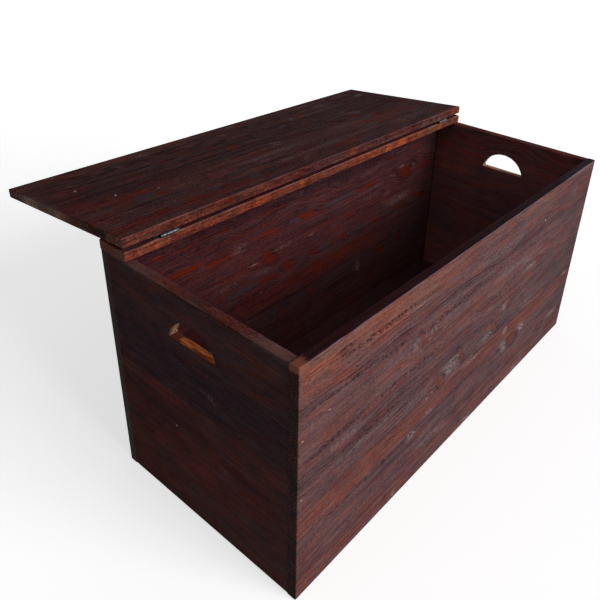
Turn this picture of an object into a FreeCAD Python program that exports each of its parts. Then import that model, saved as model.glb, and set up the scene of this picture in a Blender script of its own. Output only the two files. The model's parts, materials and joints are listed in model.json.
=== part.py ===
import FreeCAD, Part
import math
import os

# Storage chest with a hinged lid, laid fully open. Lengths are in millimetres.
# +X runs along the chest, +Y from front to rear, +Z up. The origin is on the ground,
# in the middle of the front panel's bottom edge.

# ---------------------------------------------------------------- driving dimensions
board = 18.0                  # thickness of every edge-glued board
chest_length = 1000.0         # over the front and rear panels
chest_height = 465.0          # of the box, without strip and lid
end_width = 400.0             # of an end panel, between front and rear
arris = 2.5                   # rounding of the boards' outer edges

cleat_height = 18.0           # square cleats carry the floor this far above the ground
cleat_width = 18.0
floor_play = 0.5              # between the floor's edges and the panels

hand_hole_width = 110.0       # along the flat side of the D
hand_hole_height = 43.5       # from the flat side to the crown of the arc
hand_hole_depth = 90.0        # from the top of the end panel down to the flat side
hand_hole_corner = 3.0
hand_hole_arris = 1.5         # bevel round the hand-hole on both faces

strip_depth = 67.0            # fixed strip that carries the hinges
lid_depth = 364.0
lid_gap = 2.5                 # between strip and lid when the lid is shut
lid_seat_gap = 0.3            # the shut lid clears the box's top edges by this
lid_stop_gap = 0.3            # the open lid clears the strip's rear edge by this

hinge_inset = 84.0            # from the chest's end to the middle of a hinge
leaf_length = 51.0
leaf_depth = 20.0             # from the pin's axis to the leaf's outer edge
leaf_thickness = 1.5
leaf_corner = 2.5
knuckle_count = 3
barrel_length = 33.0
knuckle_gap = 0.3
pin_diameter = 3.6
pin_running_clearance = 0.05  # radial, in the lid leaf's knuckle
pin_seat_clearance = 0.01     # radial, where the pin is staked in the strip leaf
pin_overhang = 0.6
shoulder_gap = 1.2            # from the barrel to the leaf's full width
seam_gap = 0.4                # between the end of the rolled sheet and its leaf

screw_length = 15.0
screw_diameter = 3.0
screw_head_diameter = 5.6
screw_point = 3.5
screw_sides = 12              # flats round a shank, few because screws repeat
screw_pitch = 34.0            # between the two screws of a leaf
screw_setback = 12.4          # from the pin's axis to the screws
recess_width = 0.8
recess_span = 3.2
recess_depth = 0.9

brad_length = 40.0            # through one board's thickness into the next board's edge
short_brad_length = 30.0      # for floor and cleats
brad_width = 1.25             # brads are cut from flat wire and have a T-shaped outline
brad_thickness = 1.0
brad_head_width = 2.0
brad_head_height = 0.8
brad_sink = 0.3               # heads are punched below the surface
brad_point = 2.0
brad_tip_width = 0.3
corner_brad_margin = 16.0     # from the top edge to the first brad of a corner
corner_brad_pitch = 115.0
strip_brad_pitch = 220.0
floor_brad_pitch = 300.0
row_margin = 50.0             # from the end of a row of brads to the board's end

fastener_clearance = 0.05     # around screws and brads
bore_overrun = 1.0            # cutting tools run past a surface by this

# ---------------------------------------------------------------- derived places
half_length = chest_length / 2
front_face = -board / 2
front_inner = board / 2
rear_inner = front_inner + end_width
rear_face = rear_inner + board
middle_depth = (front_inner + rear_inner) / 2
end_inner = half_length - board
floor_top = cleat_height + board
strip_front = rear_face - strip_depth
strip_top = chest_height + board

pin_radius = pin_diameter / 2
bore_radius = pin_radius + pin_running_clearance
barrel_radius = bore_radius + leaf_thickness
shoulder = barrel_radius + shoulder_gap
strip_rise = barrel_radius
lid_rise = barrel_radius - lid_seat_gap
pin_depth = strip_front - lid_gap / 2
pin_height = strip_top + strip_rise
knuckle_length = (barrel_length - knuckle_gap * (knuckle_count - 1)) / knuckle_count

X = FreeCAD.Vector(1, 0, 0)
Y = FreeCAD.Vector(0, 1, 0)
Z = FreeCAD.Vector(0, 0, 1)
ORIGIN = FreeCAD.Vector(0, 0, 0)
PIN_CENTRE = FreeCAD.Vector(0, pin_depth, pin_height)


def open_angle():
    """How far the lid turns from shut until its top rests over the strip's rear edge."""
    reach = rear_face - arris - pin_depth
    drop = -(arris + strip_rise)
    offset = lid_rise - arris - lid_stop_gap
    beyond = math.asin(offset / math.hypot(reach, drop)) - math.atan2(drop, reach)
    return 180.0 + math.degrees(beyond)


# ---------------------------------------------------------------- boards
def block(x_range, y_range, z_range):
    """A box from the lowest to the highest value on each axis."""
    low = FreeCAD.Vector(x_range[0], y_range[0], z_range[0])
    high = FreeCAD.Vector(x_range[1], y_range[1], z_range[1])
    size = high - low
    return Part.makeBox(size.x, size.y, size.z, low)


def edges_at(shape, **place):
    """The edges of a shape that lie wholly at the given coordinates, such as x=0, z=18."""
    near = 1e-4
    found = []
    for edge in shape.Edges:
        ends = edge.Vertexes
        if all(abs(getattr(end, axis.upper()) - value) < near for axis, value in place.items() for end in ends):
            found.append(edge)
    return found


def eased(shape, edges, radius=arris):
    """The shape with the given edges rounded, each taken once."""
    once = []
    for edge in edges:
        if not any(edge.isSame(other) for other in once):
            once.append(edge)
    return shape.makeFillet(radius, once)


def long_panel(y_low, y_high, outer, inner):
    """Front or rear panel, eased round its outer face and along the top of its inner one."""
    panel = block((-half_length, half_length), (y_low, y_high), (0, chest_height))
    return eased(panel, edges_at(panel, y=outer) + edges_at(panel, y=inner, z=chest_height))


def hand_hole(side):
    """Cutting tool for the D-shaped hand-hole: flat side down, with slightly rounded corners."""
    half = hand_hole_width / 2
    sill = chest_height - hand_hole_depth
    start = side * (end_inner - bore_overrun)
    left = FreeCAD.Vector(start, middle_depth - half, sill)
    crown = FreeCAD.Vector(start, middle_depth, sill + hand_hole_height)
    right = FreeCAD.Vector(start, middle_depth + half, sill)
    outline = Part.Wire([Part.Arc(left, crown, right).toShape(), Part.makeLine(right, left)])
    tool = Part.Face(outline).extrude(X * side * (board + 2 * bore_overrun))
    corners = edges_at(tool, y=left.y, z=sill) + edges_at(tool, y=right.y, z=sill)
    return eased(tool, corners, hand_hole_corner)


def end_panel(side):
    """End panel at x side -1 or +1, between front and rear, with its hand-hole."""
    outer = side * half_length
    inner = side * end_inner
    panel = block(sorted((inner, outer)), (front_inner, rear_inner), (0, chest_height))
    rims = edges_at(panel, x=outer, z=0) + edges_at(panel, x=outer, z=chest_height)
    rims += edges_at(panel, x=inner, z=chest_height)
    panel = eased(panel, rims).cut(hand_hole(side))
    inside_hole = [edge for edge in panel.Edges if in_hand_hole(edge, inner, outer)]
    return panel.makeChamfer(hand_hole_arris, inside_hole)


def in_hand_hole(edge, inner, outer):
    """True for the edges of the hand-hole that lie in the panel's two faces."""
    box = edge.BoundBox
    flat = box.XLength < 1e-4 and (abs(box.XMin - inner) < 1e-4 or abs(box.XMin - outer) < 1e-4)
    sill = chest_height - hand_hole_depth
    inside = box.ZMin > sill - 1 and box.ZMax < chest_height - arris - 1
    across = box.YMin > middle_depth - hand_hole_width and box.YMax < middle_depth + hand_hole_width
    return flat and inside and across


def floor_panel():
    """Floor board, lying on the cleats with a little play all round."""
    across = end_inner - floor_play
    return block((-across, across), (front_inner + floor_play, rear_inner - floor_play), (cleat_height, floor_top))


def long_cleat(y_low):
    """Floor cleat along the front or rear panel."""
    return block((-end_inner, end_inner), (y_low, y_low + cleat_width), (0, cleat_height))


def short_cleat(side):
    """Floor cleat along an end panel, between the long cleats."""
    ends = sorted((side * (end_inner - cleat_width), side * end_inner))
    return block(ends, (front_inner + cleat_width, rear_inner - cleat_width), (0, cleat_height))


def hinge_strip():
    """Fixed strip on top of the box along the rear, eased round its top and along the front."""
    strip = block((-half_length, half_length), (strip_front, rear_face), (chest_height, strip_top))
    return eased(strip, edges_at(strip, z=strip_top) + edges_at(strip, y=strip_front, z=chest_height))


def lid_panel():
    """Lid board as it lies when shut, eased round its top and its underside."""
    rear = pin_depth - lid_gap / 2
    low = chest_height + lid_seat_gap
    lid = block((-half_length, half_length), (rear - lid_depth, rear), (low, low + board))
    return eased(lid, edges_at(lid, z=low) + edges_at(lid, z=low + board))


# ---------------------------------------------------------------- hinges
def polar(radius, angle):
    """Point in the hinge's cross-section, from the pin's axis; the leaf lies towards +Y."""
    return FreeCAD.Vector(0, radius * math.cos(angle), radius * math.sin(angle))


def rolled_profile(rise, inner_radius):
    """Section of the sheet from its shoulder along the leaf and once round the pin."""
    sheet_top = rise - (barrel_radius - inner_radius)
    outer_start = -math.acos(0) if rise >= barrel_radius else -math.asin(rise / barrel_radius)
    inner_start = -math.acos(0) if sheet_top >= inner_radius else -math.asin(sheet_top / inner_radius)
    finish = math.asin((seam_gap - sheet_top) / barrel_radius)
    turn = 2 * math.pi
    outer_middle = (outer_start + finish - turn) / 2
    inner_middle = (inner_start + finish - turn) / 2
    low_end = FreeCAD.Vector(0, shoulder, -rise)
    high_end = FreeCAD.Vector(0, shoulder, -sheet_top)
    outer = Part.Arc(polar(barrel_radius, outer_start), polar(barrel_radius, outer_middle),
                     polar(barrel_radius, finish)).toShape()
    inner = Part.Arc(polar(inner_radius, finish), polar(inner_radius, inner_middle),
                     polar(inner_radius, inner_start)).toShape()
    edges = [Part.makeLine(low_end, polar(barrel_radius, outer_start)), outer,
             Part.makeLine(polar(barrel_radius, finish), polar(inner_radius, finish)), inner,
             Part.makeLine(polar(inner_radius, inner_start), high_end), Part.makeLine(high_end, low_end)]
    return Part.Face(Part.Wire(edges))


def screw_offsets():
    """Where a leaf's screws stand along its length."""
    return (-screw_pitch / 2, screw_pitch / 2)


def leaf(rise, inner_radius, knuckles):
    """A leaf with its knuckles, pin axis along X through the origin, plate towards +Y."""
    half = leaf_length / 2
    top = leaf_thickness - rise
    plate = block((-half, half), (shoulder, leaf_depth), (-rise, top))
    plate = eased(plate, edges_at(plate, x=-half, y=leaf_depth) + edges_at(plate, x=half, y=leaf_depth), leaf_corner)
    profile = rolled_profile(rise, inner_radius)
    for number in knuckles:
        start = -barrel_length / 2 + number * (knuckle_length + knuckle_gap)
        knuckle = profile.copy()
        knuckle.translate(X * start)
        plate = plate.fuse(knuckle.extrude(X * knuckle_length))
    for offset in screw_offsets():
        plate = plate.cut(countersink(FreeCAD.Vector(offset, screw_setback, top)))
    return plate.removeSplitter()


def strip_leaf():
    """The leaf on the strip holds the outer knuckles, in which the pin is staked."""
    return leaf(strip_rise, pin_radius + pin_seat_clearance, range(0, knuckle_count, 2))


def lid_leaf():
    """The leaf on the lid holds the middle knuckles; it is turned over to face the strip's leaf."""
    shape = leaf(lid_rise, bore_radius, range(1, knuckle_count, 2))
    shape.rotate(ORIGIN, Z, 180)
    return shape


def hinge_pin():
    """Pin whose ends stand a little out of the barrel."""
    length = barrel_length + 2 * pin_overhang
    return Part.makeCylinder(pin_radius, length, X * (-length / 2), X)


def at_hinge(shape, side):
    """A hinge piece moved from the origin to its place at x side -1 or +1."""
    placed = shape.copy()
    placed.translate(PIN_CENTRE + X * side * (half_length - hinge_inset))
    return placed


# ---------------------------------------------------------------- screws and brads
def driven(shape, head, direction, along):
    """A fastener drawn along +Z from the origin, moved so that it goes in at head."""
    turned = shape.copy()
    turned.Placement = FreeCAD.Placement(head, FreeCAD.Rotation(along, direction.cross(along), direction, "ZXY"))
    return turned


def round_bar(radius, low, high, end_radius=None):
    """A many-sided bar or, with an end radius, a taper, along +Z."""
    rings = []
    for ring_radius, height in ((radius, low), (radius if end_radius is None else end_radius, high)):
        corners = [FreeCAD.Vector(ring_radius * math.cos(2 * math.pi * side / screw_sides),
                                  ring_radius * math.sin(2 * math.pi * side / screw_sides), height)
                   for side in range(screw_sides + 1)]
        rings.append(Part.makePolygon(corners))
    return Part.makeLoft(rings, True, True)


def screw():
    """Countersunk screw along +Z, the face of its head at the origin, with a cross recess."""
    head_radius = screw_head_diameter / 2
    radius = screw_diameter / 2
    head_height = head_radius - radius
    shank_end = screw_length - screw_point
    body = Part.makeCone(head_radius, radius, head_height)
    body = body.fuse(round_bar(radius, head_height, shank_end))
    body = body.fuse(round_bar(radius, shank_end, screw_length, brad_tip_width / 2))
    half_span = recess_span / 2
    half_width = recess_width / 2
    for along, across in ((half_span, half_width), (half_width, half_span)):
        body = body.cut(block((-along, along), (-across, across), (-bore_overrun, recess_depth)))
    return body


def pilot_hole():
    """Hole in the wood for a screw's shank, along +Z."""
    return round_bar(screw_diameter / 2 + fastener_clearance, -bore_overrun, screw_length + fastener_clearance)


def countersink(head):
    """Round countersunk hole through a leaf, down from the given point."""
    head_radius = screw_head_diameter / 2 + fastener_clearance
    radius = screw_diameter / 2 + fastener_clearance
    cone = Part.makeCone(head_radius, radius, head_radius - radius, head, Z * -1)
    rim = Part.makeCylinder(head_radius, bore_overrun, head)
    return cone.fuse([rim, Part.makeCylinder(radius, leaf_thickness + bore_overrun, head, Z * -1)])


def flat_wire(points, thickness):
    """A piece of flat wire: an outline in x and z, as thick along y as given, centred."""
    corners = [FreeCAD.Vector(x, -thickness / 2, z) for x, z in points]
    return Part.Face(Part.makePolygon(corners + corners[:1])).extrude(Y * thickness)


def brad(length):
    """Brad along +Z, its head just below the surface at the origin, cut to a chisel point."""
    neck = brad_sink + brad_head_height
    right = [(brad_head_width / 2, brad_sink), (brad_head_width / 2, neck), (brad_width / 2, neck),
             (brad_width / 2, length - brad_point), (brad_tip_width / 2, length)]
    left = [(-x, z) for x, z in reversed(right)]
    return flat_wire(right + left, brad_thickness)


def brad_hole(length):
    """The hole that a brad leaves along +Z, open at the surface over its sunk head."""
    neck = brad_sink + brad_head_height + fastener_clearance
    head = brad_head_width / 2 + fastener_clearance
    shank = brad_width / 2 + fastener_clearance
    right = [(head, -bore_overrun), (head, neck), (shank, neck), (shank, length + fastener_clearance)]
    left = [(-x, z) for x, z in reversed(right)]
    return flat_wire(right + left, brad_thickness + 2 * fastener_clearance)


def spaced(low, high, pitch):
    """Even places from low to high, about one pitch apart, two or more."""
    steps = max(1, round((high - low) / pitch))
    return [low + (high - low) * step / steps for step in range(steps + 1)]


# Each place of a brad is its head's point, its direction, its width's direction and its length.
def corner_brad_places(face, direction):
    """Brads through a long panel into the edges of both end panels, down from the top."""
    count = 1 + int((chest_height - 2 * corner_brad_margin) / corner_brad_pitch)
    heights = [chest_height - corner_brad_margin - corner_brad_pitch * step for step in range(count)]
    along = half_length - board / 2
    return [(FreeCAD.Vector(side * along, face, height), direction, Z, brad_length)
            for side in (-1, 1) for height in heights]


def strip_brad_places():
    """Brads down through the strip into the rear panel's top edge."""
    reach = end_inner - row_margin
    return [(FreeCAD.Vector(x, rear_inner + board / 2, strip_top), Z * -1, X, brad_length)
            for x in spaced(-reach, reach, strip_brad_pitch)]


def floor_brad_rows():
    """X places of the brads down through the floor into the long cleats."""
    reach = end_inner - row_margin
    return spaced(-reach, reach, floor_brad_pitch)


def floor_brad_places():
    """Brads down through the floor into the long cleats."""
    depths = (front_inner + cleat_width / 2, rear_inner - cleat_width / 2)
    return [(FreeCAD.Vector(x, depth, floor_top), Z * -1, X, short_brad_length)
            for depth in depths for x in floor_brad_rows()]


def cleat_brad_places():
    """Brads through the cleats into the panels, half-way between the floor's brads."""
    height = cleat_height / 2
    rows = floor_brad_rows()
    places = []
    for x in [(low + high) / 2 for low, high in zip(rows, rows[1:])]:
        places.append((FreeCAD.Vector(x, front_inner + cleat_width, height), Y * -1, X, short_brad_length))
        places.append((FreeCAD.Vector(x, rear_inner - cleat_width, height), Y, X, short_brad_length))
    for side in (-1, 1):
        for depth in (middle_depth - end_width / 4, middle_depth + end_width / 4):
            head = FreeCAD.Vector(side * (end_inner - cleat_width), depth, height)
            places.append((head, X * side, Y, short_brad_length))
    return places


def brads(places):
    """A row of brads as one group of separate solids."""
    return Part.makeCompound([driven(brad(length), head, direction, along)
                              for head, direction, along, length in places])


def drilled(shape, tools):
    """The shape with the given holes, cut only where a hole meets it."""
    near = [tool for tool in tools if shape.BoundBox.intersect(tool.BoundBox)]
    return shape.cut(near) if near else shape


def opened(shape):
    """A piece of the shut lid, turned up and over to where the open lid lies."""
    turned = shape.copy()
    turned.rotate(PIN_CENTRE, X, -open_angle())
    return turned


def at_screws(shape, rise, towards_lid):
    """Copies of a screw or its hole at both hinges, in the strip's leaves or the shut lid's."""
    depth = pin_depth + (-screw_setback if towards_lid else screw_setback)
    height = pin_height - rise + leaf_thickness
    heads = [FreeCAD.Vector(side * (half_length - hinge_inset) + offset, depth, height)
             for side in (-1, 1) for offset in screw_offsets()]
    return [driven(shape, head, Z * -1, X) for head in heads]


# ---------------------------------------------------------------- the whole chest
def build():
    """Every piece of the chest by its node's name."""
    brad_rows = {
        "front_corner_brads": corner_brad_places(front_face, Y),
        "rear_corner_brads": corner_brad_places(rear_face, Y * -1),
        "strip_brads": strip_brad_places(),
        "floor_brads": floor_brad_places(),
        "cleat_brads": cleat_brad_places(),
    }
    holes = [driven(brad_hole(length), head, direction, along)
             for row in brad_rows.values() for head, direction, along, length in row]
    holes += at_screws(pilot_hole(), strip_rise, False)

    boards = {
        "front_panel": long_panel(front_face, front_inner, front_face, front_inner),
        "rear_panel": long_panel(rear_inner, rear_face, rear_face, rear_inner),
        "left_end_panel": end_panel(-1),
        "right_end_panel": end_panel(1),
        "floor_panel": floor_panel(),
        "front_floor_cleat": long_cleat(front_inner),
        "rear_floor_cleat": long_cleat(rear_inner - cleat_width),
        "left_floor_cleat": short_cleat(-1),
        "right_floor_cleat": short_cleat(1),
        "hinge_strip": hinge_strip(),
    }
    pieces = {name: drilled(shape, holes) for name, shape in boards.items()}
    pieces["lid_panel"] = opened(drilled(lid_panel(), at_screws(pilot_hole(), lid_rise, True)))
    for name, side in (("left", -1), ("right", 1)):
        pieces[name + "_strip_leaf"] = at_hinge(strip_leaf(), side)
        pieces[name + "_lid_leaf"] = opened(at_hinge(lid_leaf(), side))
        pieces[name + "_hinge_pin"] = at_hinge(hinge_pin(), side)
    pieces["strip_leaf_screws"] = Part.makeCompound(at_screws(screw(), strip_rise, False))
    pieces["lid_leaf_screws"] = opened(Part.makeCompound(at_screws(screw(), lid_rise, True)))
    for name, places in brad_rows.items():
        pieces[name] = brads(places)
    return pieces


os.makedirs("parts", exist_ok=True)
for node, shape in build().items():
    shape.exportStep("parts/" + node + ".step")
    print(node, len(shape.Solids), "solids,", round(shape.Volume), "mm3")
print("open angle", round(open_angle(), 3))
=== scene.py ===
import bmesh
import bpy
import functools
import json
import math
from mathutils import Matrix, Vector


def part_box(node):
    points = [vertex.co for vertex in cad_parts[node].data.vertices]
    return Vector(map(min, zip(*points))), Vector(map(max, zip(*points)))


# The looks of a storage chest of edge-glued, stained pine boards, laid open. Metres, +Z up, front towards -Y.
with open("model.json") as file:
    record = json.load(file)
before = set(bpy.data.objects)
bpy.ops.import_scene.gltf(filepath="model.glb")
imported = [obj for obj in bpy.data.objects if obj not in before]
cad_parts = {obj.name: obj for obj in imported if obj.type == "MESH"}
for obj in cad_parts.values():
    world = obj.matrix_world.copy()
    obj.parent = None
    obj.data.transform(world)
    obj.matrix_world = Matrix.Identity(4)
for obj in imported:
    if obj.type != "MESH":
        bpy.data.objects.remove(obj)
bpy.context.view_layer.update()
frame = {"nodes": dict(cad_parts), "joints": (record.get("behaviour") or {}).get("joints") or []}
nodes = frame["nodes"]

MM = 1000.0                   # patterns are drawn in millimetres
SMOOTH = {"interpolation_type": "SMOOTHSTEP"}     # a change that starts and ends softly


# ------------------------------------ small tools
def linear(hex_colour):
    """Linear RGBA of an sRGB hex colour."""
    channels = [int(hex_colour[place:place + 2], 16) / 255 for place in (1, 3, 5)]
    return tuple(c / 12.92 if c <= 0.04045 else ((c + 0.055) / 1.055) ** 2.4 for c in channels) + (1.0,)


# Sockets that share a name go by number: MapRange takes 0 from the range 1 to 2 to the range 3 to 4, and Mix
# lays colour 7 on colour 6 by the amount 0, with output 2.
def add(tree, kind, inputs=None, out=0, **settings):
    """Adds a shader node with its settings; an input is a value or another node's output. Gives an output."""
    node = tree.nodes.new("ShaderNode" + kind)
    for name, value in settings.items():
        setattr(node, name, value)
    for socket, value in (inputs or {}).items():
        if isinstance(value, bpy.types.NodeSocket):
            tree.links.new(value, node.inputs[socket])
        else:
            node.inputs[socket].default_value = value
    return node.outputs[out]


def new_material(name):
    """An empty node material and its tree."""
    material = bpy.data.materials.new(name)
    material.use_nodes = True
    material.node_tree.nodes.clear()
    return material, material.node_tree


def finish_surface(tree, shader):
    """Joins a shader to the material's surface."""
    output = tree.nodes.new("ShaderNodeOutputMaterial")
    tree.links.new(shader, output.inputs["Surface"])


def wear(material, *names):
    """Gives CAD pieces a material, in place of every slot that they came with."""
    for name in names:
        mesh = nodes[name].data
        mesh.materials.clear()
        mesh.materials.append(material)


# ------------------------------------ boards and their own millimetres
class Board:
    """A board's own frame in mm from a corner: along the grain, across the staves and through the board."""

    def __init__(self, name, along, across):
        self.name = name
        along = Vector(along).normalized()
        across = Vector(across).normalized()
        self.turn = Matrix((along, across, along.cross(across)))
        points = [self.turn @ corner.co for corner in nodes[name].data.vertices]
        self.low = Vector([min(point[axis] for point in points) for axis in range(3)])
        self.size = Vector([max(point[axis] for point in points) for axis in range(3)]) - self.low
        self.size *= MM

    def point(self, tree):
        """Shader output: the place on the board in mm, along, across and through."""
        position = add(tree, "TexCoord", out=3)
        return add(tree, "Mapping", {
            "Vector": position,
            "Location": self.low * -MM,
            "Rotation": self.turn.to_euler("XYZ"),
            "Scale": (MM, MM, MM),
        }, vector_type="POINT")


# ------------------------------------ stained pine
# sRGB colours of the stain, from where it gathered to where it was wiped or worn off
POOLED = "#22161c"            # gathered in glue lines and torn pores
DEEP = "#3f2a2e"
BODY = "#614545"
THIN = "#7b5a56"              # wiped thin over hard wood
WORN = "#a98a7c"
RESIN = "#6e3b32"             # brick red where resin and knots kept the stain out
DEEP_RESIN = "#84361d"        # the same where more stain lies on it
PUTTY = "#56555b"             # blue-grey where glue squeezed out of a joint kept the stain off
CHALK = "#968a88"             # grey bloom of crushed, sanded fibres, laid on also as a painted sheen
RUBBED = "#8c5540"            # arrises rubbed back to orange-brown
LINT = "#c9b9ae"              # dust and filler specks
OCHRE = "#7d684a"             # bare specks in the end grain

# what multiplies the stain where it took warmer, greyer, ambered, ochre, redder, slaty or darker; SHADE, and
# SLATE in places, also darken a board as painted shade where it lies in shadow
WARM = (1.20, 0.91, 0.80, 1)
COOL = (0.88, 1.02, 1.08, 1)
AMBER = (1.55, 1.22, 0.92, 1)
GOLDEN = (2.00, 1.55, 0.85, 1)
RUDDY = (1.02, 0.80, 0.77, 1)
SLATE = (0.72, 0.86, 0.95, 1)
SHADE = (0.66, 0.70, 0.76, 1)

# Lengths along, across and through the grain, in mm. Real fibres are 3 mm by 0.03 mm and pores finer still:
# the finest pattern is drawn as coarse as it has to be to show.
FIBRE = (80.0, 2.8, 2.8)
PORE = (6.0, 2.2, 2.2)
CURL = (46.0, 22.0, 22.0)
STREAK = (190.0, 8.0, 8.0)
CLOUD = (52.0, 21.0, 21.0)
BLUSH = (76.0, 19.0, 19.0)
SWAY = (170.0, 60.0, 60.0)
WANDER = (240.0, 60.0, 60.0)  # of growth rings
TEAR = (20.0, 8.0, 8.0)       # of ragged outlines
FLECK = (46.0, 6.0, 6.0)
DASH = (14.0, 60.0, 60.0)     # of stain in a joint, and the stretches of joint that took more of it
STRETCH = (130.0, 40.0, 40.0)
HANDLED = (60.0, 60.0, 60.0)
KNIFE = (2.6, 60.0, 30.0)     # of the planer's marks, and the patches of stain between them
PATCH = (26.0, 40.0, 16.0)
RING = 3.4                    # mm between growth rings


def stave_values(tree, across, staves):
    """Per-stave colour output (tone, hue, number) and the distance in mm to the nearest glue line."""
    total = sum(stave[0] for stave in staves)
    place = add(tree, "Math", {0: across, 1: total}, operation="DIVIDE")
    ramp_output = add(tree, "ValToRGB", {0: place})
    ramp = ramp_output.node.color_ramp
    ramp.interpolation = "CONSTANT"
    start = 0.0
    nearest = add(tree, "Math", {0: across, 1: total}, operation="ADD")
    for number, (width, tone, hue) in enumerate(staves):
        stop = ramp.elements[0] if number == 0 else ramp.elements.new(start / total)
        stop.position = start / total
        # tone and hue are halved to fit a colour's 0 to 1
        stop.color = (tone / 2, hue / 2 + 0.5, number / len(staves), 1)
        if number:
            away = add(tree, "Math", {0: across, 1: start}, operation="SUBTRACT")
            away = add(tree, "Math", {0: away}, operation="ABSOLUTE")
            nearest = add(tree, "Math", {0: nearest, 1: away}, operation="MINIMUM")
        start += width
    while len(ramp.elements) > len(staves):
        ramp.elements.remove(ramp.elements[-1])
    return ramp_output, nearest


def grain(tree, point, size, detail=3.0, rough=0.6, seed=0.0):
    """Noise drawn out along the grain, about 0 to 1 with its middle at 0.5."""
    scaled = add(tree, "VectorMath", {0: point, 1: [1 / length for length in size]}, operation="MULTIPLY")
    return add(tree, "TexNoise", {"Vector": scaled, "W": seed, "Scale": 1.0, "Detail": detail,
                                  "Roughness": rough}, noise_dimensions="4D")


def oval_reach(tree, point, place, half_size, tilt=0.0):
    """How far the point is from a place on the board's face, where 1 is the edge of an oval of that half
    size, turned by tilt degrees from the grain."""
    new = functools.partial(add, tree)
    # no Mapping node: between it and vector maths lies a hidden conversion, which holds every mark's value
    # back at once and overfills the shader
    away = new("VectorMath", {0: point, 1: (*place, 0)}, operation="SUBTRACT")
    if tilt:
        cosine, sine = math.cos(math.radians(tilt)), math.sin(math.radians(tilt))
        along = new("VectorMath", {0: away, 1: (cosine, sine, 0)}, out=1, operation="DOT_PRODUCT")
        across = new("VectorMath", {0: away, 1: (-sine, cosine, 0)}, out=1, operation="DOT_PRODUCT")
        away = new("CombineXYZ", {0: along, 1: across})
    away = new("VectorMath", {0: away, 1: (1 / half_size[0], 1 / half_size[1], 0)}, operation="MULTIPLY")
    return new("VectorMath", {0: away}, out=1, operation="LENGTH")


def flow_round(tree, point, knots):
    """The point moved so that lines along the grain sway and part round each knot; the same torn a little for
    ragged outlines; and the knots' discs and their dark rims, 0 to 1."""
    new = functools.partial(add, tree)
    tear = (6.0, 2.4, 0.0)                # mm that outlines are torn by, along and across
    sway_by = 4.0                         # mm that the grain sways to either side
    parts_along, parts_across = 4.5, 2.2  # how far off the grain parts round a knot, in its half lengths
    ragged = grain(tree, point, TEAR, seed=5.0)
    ragged = new("MapRange", {0: ragged, 1: 0.3, 2: 0.7, 3: -1.0, 4: 1.0})
    shift = new("VectorMath", {0: tear, "Scale": ragged}, operation="SCALE")
    torn = new("VectorMath", {0: point, 1: shift}, operation="ADD")
    sway = grain(tree, point, SWAY, detail=1.0, seed=1.0)
    sway = new("MapRange", {0: sway, 1: 0.3, 2: 0.7, 3: -sway_by, 4: sway_by})
    parted = new("VectorMath", {0: (0.0, 1.0, 0.5), "Scale": sway}, operation="SCALE")
    parted = new("VectorMath", {0: parted, 1: point}, operation="ADD")
    disc = rim = None
    for along, across, half_length, half_width, tilt in knots:
        away = new("VectorMath", {0: point, 1: (along, across, 0.0)}, operation="SUBTRACT")
        spread = (half_length * parts_along, half_length * parts_across)
        reach = oval_reach(tree, point, (along, across), spread)
        push = new("MapRange", {0: reach, 1: 1.0, 2: 0.0, 3: 0.0, 4: -0.8}, **SMOOTH)
        push = new("CombineXYZ", {1: push})
        parted = new("VectorMath", {0: away, 1: push, 2: parted}, operation="MULTIPLY_ADD")
        reach = oval_reach(tree, torn, (along, across), (half_length, half_width), tilt)
        knot = new("MapRange", {0: reach, 1: 1.15, 2: 0.8}, **SMOOTH)
        edge = new("MapRange", {0: reach, 1: 1.9, 2: 1.2}, **SMOOTH)
        disc = new("Math", {0: disc, 1: knot}, operation="MAXIMUM") if disc else knot
        rim = new("Math", {0: rim, 1: edge}, operation="MAXIMUM") if rim else edge
    return parted, torn, disc, rim


def growth_rings(tree, point, chance):
    """Late wood of the growth rings, 0 to 1: each stave is sawn at its own distance from the pith."""
    new = functools.partial(add, tree)
    pith_range, nearest_pith = (0.0, 150.0, 50.0), (0.0, -75.0, 12.0)   # mm
    wander_by = 30.0                      # mm that a ring wanders along the board
    unevenness = 3.0                      # rings by which their spacing runs ahead
    wander = grain(tree, point, WANDER, detail=2.0, rough=0.45, seed=3.0)
    pith = new("VectorMath", {0: chance, 1: pith_range, 2: nearest_pith}, operation="MULTIPLY_ADD")
    offset = new("VectorMath", {0: point, 1: pith}, operation="ADD")
    offset = new("VectorMath", {0: offset, 1: (0.0, 1.0, 1.0)}, operation="MULTIPLY")
    radius = new("VectorMath", {0: offset}, out=1, operation="LENGTH")
    radius = new("Math", {0: wander, 1: wander_by, 2: radius}, operation="MULTIPLY_ADD")
    ring = new("Math", {0: radius, 1: RING}, operation="DIVIDE")
    uneven = new("TexNoise", {"W": ring, "Scale": 0.31, "Detail": 2.0}, noise_dimensions="1D")
    ring = new("Math", {0: uneven, 1: unevenness, 2: ring}, operation="MULTIPLY_ADD")
    phase = new("Math", {0: ring}, operation="FRACT")
    rise = new("MapRange", {0: phase, 1: 0.30, 2: 0.82}, **SMOOTH)
    fall = new("MapRange", {0: phase, 1: 0.86, 2: 0.99}, **SMOOTH)
    return new("Math", {0: rise, 1: fall}, operation="SUBTRACT")


def distance_inside(tree, point, size):
    """Distances in mm to the board's ends, long edges and faces, and to the nearest arris along the grain."""
    new = functools.partial(add, tree)
    centred = new("VectorMath", {0: point, 1: size / 2}, operation="SUBTRACT")
    centred = new("VectorMath", {0: centred}, operation="ABSOLUTE")
    inside = new("VectorMath", {0: size / 2, 1: centred}, operation="SUBTRACT")
    end, edge, face = new("SeparateXYZ", {0: inside}).node.outputs[:3]
    return end, edge, face, new("Math", {0: edge, 1: face}, operation="MAXIMUM")


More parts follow.
